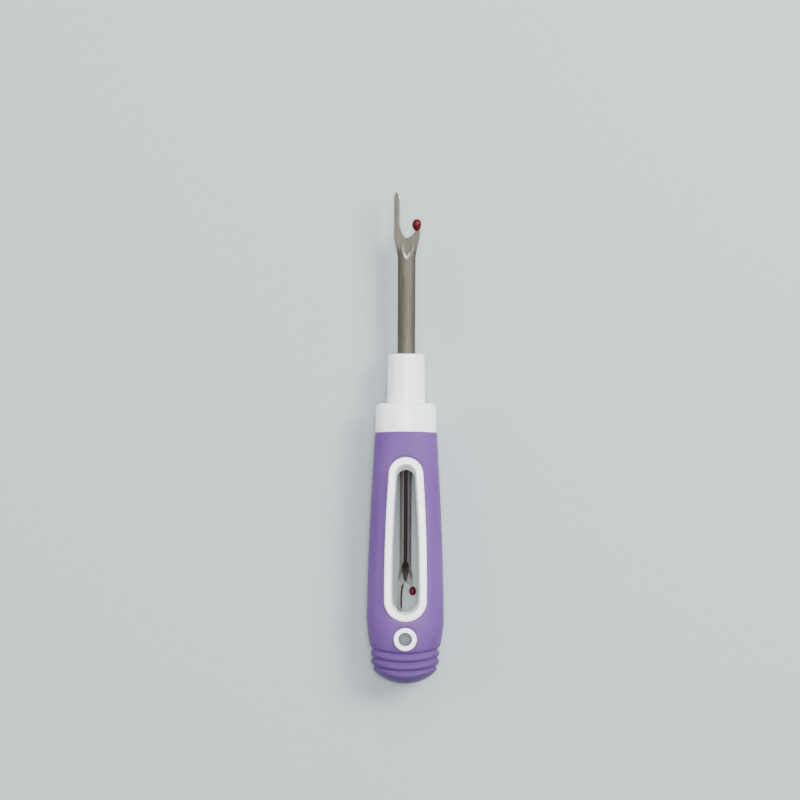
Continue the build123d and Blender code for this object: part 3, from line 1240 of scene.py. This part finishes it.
    @staticmethod
    def walls(cells: list[Cell]) -> list[tuple[int, int, int, int]]:
        """Faces that close the sheet's open edges between its outer and inner sides.

        Args:
            cells: the cells as pairs of outer and inner vertices.

        Returns:
            The wall faces.
        """
        uses: dict[frozenset[Pair], int] = {}
        for cell in cells:
            for a, b in zip(cell, cell[1:] + cell[:1]):
                uses[frozenset((a, b))] = uses.get(frozenset((a, b)), 0) + 1
        walls = []
        for cell in cells:
            for a, b in zip(cell, cell[1:] + cell[:1]):
                if uses[frozenset((a, b))] == 1:
                    walls.append((b[0], a[0], a[1], b[1]))
        return walls

    def bead(self, name: str) -> bpy.types.Object:
        """The plastic drop on the short prong, in the blade's own place.

        Args:
            name: the piece's name.

        Returns:
            The bead's object, in metres.
        """
        around, along = 40, 30
        lean_share, length_share, depth_share = 0.05, 0.995, 0.97
        height = self.flat_top - self.sheet / 2
        half = self.bead_length / 2
        points, faces = [], []
        for row in range(along + 1):
            turn = math.pi * row / along
            y = half * math.cos(turn)
            egg = math.sin(turn) * (1 + self.bead_egg * math.cos(turn))
            radius = self.bead_radius * egg / (1 + self.bead_egg ** 2 / 2)
            for i in range(around):
                angle = 2 * math.pi * i / around
                lean = lean_share * self.bead_radius * math.sin(turn) * math.cos(2 * turn)
                points.append(Vector((self.bead_offset + lean + radius * math.cos(angle),
                                      y * length_share - self.bead_station,
                                      height + radius * math.sin(angle) * depth_share)) * MM)
        for row in range(along):
            for i in range(around):
                j = (i + 1) % around
                faces.append((row * around + i, row * around + j, (row + 1) * around + j,
                              (row + 1) * around + i))
        drop = make_object(name, points, faces)
        shade(drop, 180)
        return drop


def large_blade() -> Blade:
    """The blade in use, with its closed side to the front.

    Returns:
        Its sizes.
    """
    return Blade(end=BladeEnd.LARGE, tube_radius=2.3, sheet=0.8, seam=0.4, length=54.1,
                 head_half=3.38, head_end=10.9, notch_depth=12.0, notch_left_start=7.0,
                 flat_start=12.9, flare_start=17.6, prong_width=1.52,
                 tip_offset=2.77, tip_taper=2.2, fork_drop=0.9, bead_offset=2.62,
                 bead_station=8.7, bead_radius=1.19, bead_length=3.35, short_half=0.5,
                 coin_half=1.7)


def small_blade() -> Blade:
    """The stowed blade, with its seam to the front.

    Returns:
        Its sizes.
    """
    return Blade(end=BladeEnd.SMALL, tube_radius=1.5, sheet=0.5, seam=1.0, length=52.2,
                 head_half=2.0, head_end=7.6, notch_depth=8.5, notch_left_start=2.8,
                 flat_start=8.6, flare_start=13.8, prong_width=1.15, tip_offset=1.74,
                 tip_taper=1.85, fork_drop=0.6, bead_offset=1.92, bead_station=6.15,
                 bead_radius=0.93, bead_length=2.4, short_half=0.32, coin_half=1.2,
                 # the small blade's bevel wears the near-black finish too: painted shade along its
                 # prong's edge
                 bead_egg=0.12, bevel=0.48, bevel_hold=7.4, bevel_end=8.5, bevel_zone=Zone.SCALE_AND_SHADE,
                 left_arm=0.0, unroll_power=1.15, settle_share=0.75, shaded_channel_half=0.8)


def lifted_small_steel() -> DrawnSteel:
    """The small blade's plating, greyer and less tarnished than the large one's, and lighter as painted
    light against the shade inside the window.
    """
    return DrawnSteel(bright=(0.222, 0.214, 0.210), dull=(0.160, 0.152, 0.150),
                      stain=(0.092, 0.076, 0.074))


@dataclass
class Insert:
    """The reversible insert: the hub as modelled, with refined blades and beads."""

    large: Blade = field(default_factory=large_blade)
    small: Blade = field(default_factory=small_blade)

    def place(self, piece: bpy.types.Object, end: BladeEnd) -> None:
        """Move a blade's or bead's vertices to its place in the frame.

        Args:
            piece: the object, with its tip at the origin.
            end: which end of the hub it belongs to.
        """
        core_low, core_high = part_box("handle_core")
        middle = (core_low.z + core_high.z) / 2
        low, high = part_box("large_blade" if end is BladeEnd.LARGE else "small_blade")
        for vertex in piece.data.vertices:
            x, y, z = vertex.co
            if end is BladeEnd.LARGE:
                vertex.co = (x, high.y + y, middle + z)
            else:
                vertex.co = (x, low.y - y, middle - z)

    def build_end(self, blade: Blade) -> list[bpy.types.Object]:
        """Build, place and dress one blade and its bead.

        Args:
            blade: the blade's sizes.

        Returns:
            The blade and the bead.
        """
        word = blade.end.value
        metal = blade.build(f"{word}_fork")
        drop = blade.bead(f"{word}_drop")
        steel = DrawnSteel() if blade.end is BladeEnd.LARGE else lifted_small_steel()
        for finish, title in ((steel, "steel"), (OiledScaleAndShade(), "inside"), (GroundEdge(), "edge")):
            metal.data.materials.append(finish.make(f"{word}_{title}_finish"))
        dress(drop, DippedBead().make(f"{word}_bead_finish"))
        for piece, node, slot in ((metal, "blade", Slot.STEEL), (drop, "bead", Slot.RED)):
            self.place(piece, blade.end)
            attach(piece, Body.INSERT.value)
            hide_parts(f"{word}_{node}")
        return [metal, drop]

    def build(self) -> list[bpy.types.Object]:
        """Build and dress the insert.

        Returns:
            The pieces that show.
        """
        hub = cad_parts["insert_hub"]
        dress(hub, WhitePlastic().make("white_hub_finish"))
        return [hub, *self.build_end(self.large), *self.build_end(self.small)]


# ------------------------------------------------------------------ studio
@dataclass
class Studio:
    """The pale table, the soft light and the camera square above the tool: sizes in metres."""

    frame_width: float = 0.208
    distance: float = 1.2
    centre: tuple[float, float] = (-0.0016, 0.0098)
    roll: float = 0.23       # degrees
    bright_side: tuple[float, float, float] = (0.3, 0.6, 0.0)
    dark_level: float = 0.30
    bright_level: float = 0.68
    floor_half: float = 1.6
    floor_gap: float = 0.00002

    def build_floor(self) -> bpy.types.Object:
        """Lay the pale surface under the tool.

        Returns:
            The floor.
        """
        half = self.floor_half
        drop = CAD_BOX[0].z - self.floor_gap
        corners = [(x * half, y * half, drop) for x, y in ((-1, -1), (1, -1), (1, 1), (-1, 1))]
        floor = make_object("table_top", corners, [(0, 1, 2, 3)])
        dress(floor, TablePaper().make("table_paper"))
        return floor

    def add_light(self, name: str, place: Sequence[float], size: float, power: float,
                  tint: Sequence[float] = (1.0, 1.0, 1.0)) -> None:
        """Hang a square soft box aimed at the tool.

        Args:
            name: the light's name.
            place: its position in metres.
            size: its side in metres.
            power: its power in watts.
            tint: its colour.
        """
        light = bpy.data.lights.new(name, "AREA")
        light.shape = "SQUARE"
        light.size = size
        light.energy = power
        light.color = tuple(tint)
        lamp = bpy.data.objects.new(name, light)
        lamp.location = place
        lamp.rotation_mode = "QUATERNION"
        lamp.rotation_quaternion = (-Vector(place)).to_track_quat("-Z", "Y")
        bpy.context.scene.collection.objects.link(lamp)

    def build_light(self) -> None:
        """Hang the key box at the upper right and three weaker ones, under a sky with a bright side."""
        self.add_light("key_box", (0.62, 0.40, 0.74), 0.45, 17.0, (1.0, 0.985, 0.965))
        self.add_light("tip_box", (0.06, 0.80, 0.92), 0.5, 6.0)
        self.add_light("top_box", (0.02, 0.03, 1.34), 0.3, 16.0)
        self.add_light("fill_box", (-0.85, 0.15, 0.45), 0.5, 3.2, (0.95, 0.98, 1.0))
        world = bpy.data.worlds.new("surroundings")
        world.use_nodes = True
        background = world.node_tree.nodes["Background"]
        background.inputs["Color"].default_value = (0.90, 0.93, 0.97, 1.0)
        place = world.node_tree.nodes.new("ShaderNodeTexCoord")
        lean = world.node_tree.nodes.new("ShaderNodeVectorMath")
        lean.operation = "DOT_PRODUCT"
        lean.inputs[1].default_value = self.bright_side
        level = world.node_tree.nodes.new("ShaderNodeMapRange")
        level.inputs["From Min"].default_value = -1.0
        level.inputs["To Min"].default_value = self.dark_level
        level.inputs["To Max"].default_value = self.bright_level
        world.node_tree.links.new(place.outputs["Generated"], lean.inputs[0])
        world.node_tree.links.new(lean.outputs["Value"], level.inputs["Value"])
        world.node_tree.links.new(level.outputs["Result"], background.inputs["Strength"])
        bpy.context.scene.world = world

    def build_camera(self) -> None:
        """Stand the camera square above the tool, its tip pointing up the picture."""
        lens = bpy.data.cameras.new("camera")
        lens.sensor_width = 36.0
        drop = self.distance - (CAD_BOX[1].z - CAD_BOX[0].z) / 2
        lens.lens = lens.sensor_width * drop / self.frame_width
        lens.clip_start = 0.01
        camera = bpy.data.objects.new("camera", lens)
        camera.location = (self.centre[0], self.centre[1], self.distance)
        camera.rotation_euler.z = math.radians(self.roll)
        bpy.context.scene.collection.objects.link(camera)
        bpy.context.scene.camera = camera

    def build(self) -> None:
        """Build everything that isn't part of the tool."""
        self.build_camera()
        self.build_light()
        self.build_floor()


def report(pieces: Iterable[bpy.types.Object]) -> None:
    """Log each piece with its size.

    Args:
        pieces: the objects to name.
    """
    for piece in pieces:
        size = " x ".join(f"{length / MM:.1f}" for length in piece.dimensions)
        log.info("%s: %s mm, %d faces", piece.name, size, len(piece.data.polygons))


def main() -> None:
    """Build the studio, the handle and the insert in order."""
    logging.basicConfig(level=logging.INFO, format="%(name)s: %(message)s")
    makers: list[Callable[[], list[bpy.types.Object]]] = [Handle().build, Insert().build]
    Studio().build()
    for maker in makers:
        report(maker())


if __name__ == "__main__":
    main()
